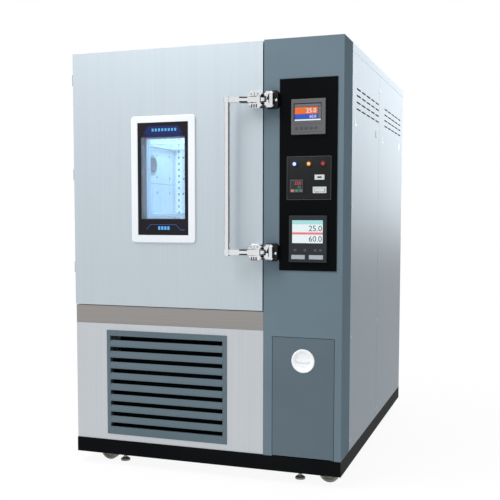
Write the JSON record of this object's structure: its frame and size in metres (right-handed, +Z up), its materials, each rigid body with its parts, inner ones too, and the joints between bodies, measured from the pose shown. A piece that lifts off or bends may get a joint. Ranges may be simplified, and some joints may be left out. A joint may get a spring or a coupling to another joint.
{
  "type": "environmental test chamber",
  "caption": "Floor-standing environmental test chamber with a windowed insulated door, twin-point pull handle, control tower, louvred machine bay and castors.",
  "frame": {"origin": "on the floor under the middle of the overall box", "axes": "+Z up, the door faces -Y, the control tower is on the +X side"},
  "size_m": [1.27, 1.7795, 1.867],
  "materials": {
    "brushed_stainless": "vertical brushed grain",
    "rail_stainless": "darker horizontal brushed grain",
    "liner_stainless": "bright annealed interior sheet",
    "shelf_wire": "electropolished wire",
    "zinc_sheet": "zinc plated",
    "tower_paint": "fine textured powder coat",
    "black_paint": "black powder coat",
    "foam": "cut foam",
    "white_plastic": "moulded",
    "window_glass": "clear toughened",
    "silicone": "moulded silicone",
    "chrome": "polished chrome plate",
    "hinge_steel": "satin cast steel",
    "panel_black": "black panel film",
    "instrument_grey": "moulded",
    "cover_grey": "moulded",
    "lamp_lens": "clear lens",
    "tank_plastic": "blow moulded",
    "coil_aluminium": "finned",
    "sheath_steel": "heat tinted",
    "wheel_polymer": "moulded"
  },
  "bodies": {
    "cabinet": {"base_frame": "black_paint", "levelling_feet": "zinc_sheet", "left_side_panel": "brushed_stainless", "front_side_panel": "brushed_stainless", "rear_side_panel": "brushed_stainless", "top_cover": "brushed_stainless", "rear_panel": "zinc_sheet", "front_rail": "rail_stainless", "lower_front_panel": "brushed_stainless", "intake_grille": "tower_paint", "cabinet_foam": "foam", "inner_liner": "liner_stainless", "air_baffle": "liner_stainless", "shelf_supports": "liner_stainless", "fan_motor": "black_paint", "heater_coil": "sheath_steel", "evaporator_coil": "coil_aluminium", "humidifier": "sheath_steel", "port_sleeve": "sheath_steel", "tower_shell": "tower_paint", "panel_plate": "panel_black", "recorder": "instrument_grey", "limiter": "instrument_grey", "pilot_lamps": "lamp_lens", "port_bezels": "white_plastic", "controller": "instrument_grey", "water_tank": "tank_plastic", "compressors": "black_paint", "condenser": "coil_aluminium", "electrical_chassis": "zinc_sheet", "latch_keepers": "chrome", "cabinet_hinges": "hinge_steel", "rear_fittings": "sheath_steel", "rear_castor_forks": "zinc_sheet"},
    "door": {"door_skin": "brushed_stainless", "door_liner": "liner_stainless", "door_foam": "foam", "door_gasket": "silicone", "window_frame": "white_plastic", "window_panes": "window_glass", "door_hinges": "hinge_steel", "latch_housings": "chrome"},
    "handle": {"handle_levers": "chrome", "handle_bar": "chrome"},
    "tank_door": {"tank_door": "tower_paint", "cup_pull": "white_plastic"},
    "circulation_fan": {"circulation_fan": "coil_aluminium"},
    "condenser_fan": {"condenser_fan": "coil_aluminium"},
    "lower_shelf": {"lower_shelf": "shelf_wire"},
    "upper_shelf": {"upper_shelf": "shelf_wire"},
    "port_plug": {"port_plug": "silicone"},
    "rocker": {"rocker": "white_plastic"},
    "left_cover": {"controller_left_cover": "cover_grey"},
    "right_cover": {"controller_right_cover": "cover_grey"},
    "front_left_fork": {"front_left_castor_fork": "zinc_sheet"},
    "front_right_fork": {"front_right_castor_fork": "zinc_sheet"},
    "front_left_wheel": {"front_left_castor_wheel": "wheel_polymer"},
    "front_right_wheel": {"front_right_castor_wheel": "wheel_polymer"},
    "rear_left_wheel": {"rear_left_castor_wheel": "wheel_polymer"},
    "rear_right_wheel": {"rear_right_castor_wheel": "wheel_polymer"}
  },
  "joints": [
    {"name": "door_hinge", "type": "hinge", "parent": "cabinet", "child": "door", "pos_m": [-0.621, -0.73025, 1.302], "axis": [0, 0, -1], "range_deg": [0, 115]},
    {"name": "handle_pull", "type": "hinge", "parent": "door", "child": "handle", "pos_m": [0.285, -0.83925, 1.303], "axis": [0, 0, 1], "range_deg": [0, 80]},
    {"name": "tank_door_hinge", "type": "hinge", "parent": "cabinet", "child": "tank_door", "pos_m": [0.6, -0.80225, 0.372], "axis": [0, 0, 1], "range_deg": [0, 100]},
    {"name": "circulation_fan_spin", "type": "hinge", "parent": "cabinet", "child": "circulation_fan", "pos_m": [-0.1565, 0.24375, 1.572], "axis": [0, 1, 0], "continuous": true},
    {"name": "condenser_fan_spin", "type": "hinge", "parent": "cabinet", "child": "condenser_fan", "pos_m": [-0.16, -0.64625, 0.374], "axis": [0, 1, 0], "continuous": true},
    {"name": "lower_shelf_slide", "type": "slide", "parent": "cabinet", "child": "lower_shelf", "axis": [0, -1, 0], "range_m": [0, 0.05]},
    {"name": "upper_shelf_slide", "type": "slide", "parent": "cabinet", "child": "upper_shelf", "axis": [0, -1, 0], "range_m": [0, 0.05]},
    {"name": "port_plug_pull", "type": "slide", "parent": "cabinet", "child": "port_plug", "axis": [-1, 0, 0], "range_m": [0, 0.13]},
    {"name": "rocker_tilt", "type": "hinge", "parent": "cabinet", "child": "rocker", "pos_m": [0.53775, -0.80425, 1.246], "axis": [0, 0, -1], "range_deg": [0, 12]},
    {"name": "left_cover_flap", "type": "hinge", "parent": "cabinet", "child": "left_cover", "pos_m": [0.45025, -0.81625, 0.964], "axis": [1, 0, 0], "range_deg": [0, 85]},
    {"name": "right_cover_flap", "type": "hinge", "parent": "cabinet", "child": "right_cover", "pos_m": [0.52625, -0.81625, 0.964], "axis": [1, 0, 0], "range_deg": [0, 85]},
    {"name": "front_left_swivel", "type": "hinge", "parent": "cabinet", "child": "front_left_fork", "pos_m": [-0.51, -0.71125, 0.1], "axis": [0, 0, 1], "continuous": true},
    {"name": "front_right_swivel", "type": "hinge", "parent": "cabinet", "child": "front_right_fork", "pos_m": [0.54, -0.71125, 0.1], "axis": [0, 0, 1], "continuous": true},
    {"name": "front_left_roll", "type": "hinge", "parent": "front_left_fork", "child": "front_left_wheel", "pos_m": [-0.482, -0.71125, 0.045], "axis": [0, 1, 0], "continuous": true},
    {"name": "front_right_roll", "type": "hinge", "parent": "front_right_fork", "child": "front_right_wheel", "pos_m": [0.568, -0.71125, 0.045], "axis": [0, 1, 0], "continuous": true},
    {"name": "rear_left_roll", "type": "hinge", "parent": "cabinet", "child": "rear_left_wheel", "pos_m": [-0.51, 0.77675, 0.045], "axis": [1, 0, 0], "continuous": true},
    {"name": "rear_right_roll", "type": "hinge", "parent": "cabinet", "child": "rear_right_wheel", "pos_m": [0.54, 0.77675, 0.045], "axis": [1, 0, 0], "continuous": true}
  ]
}
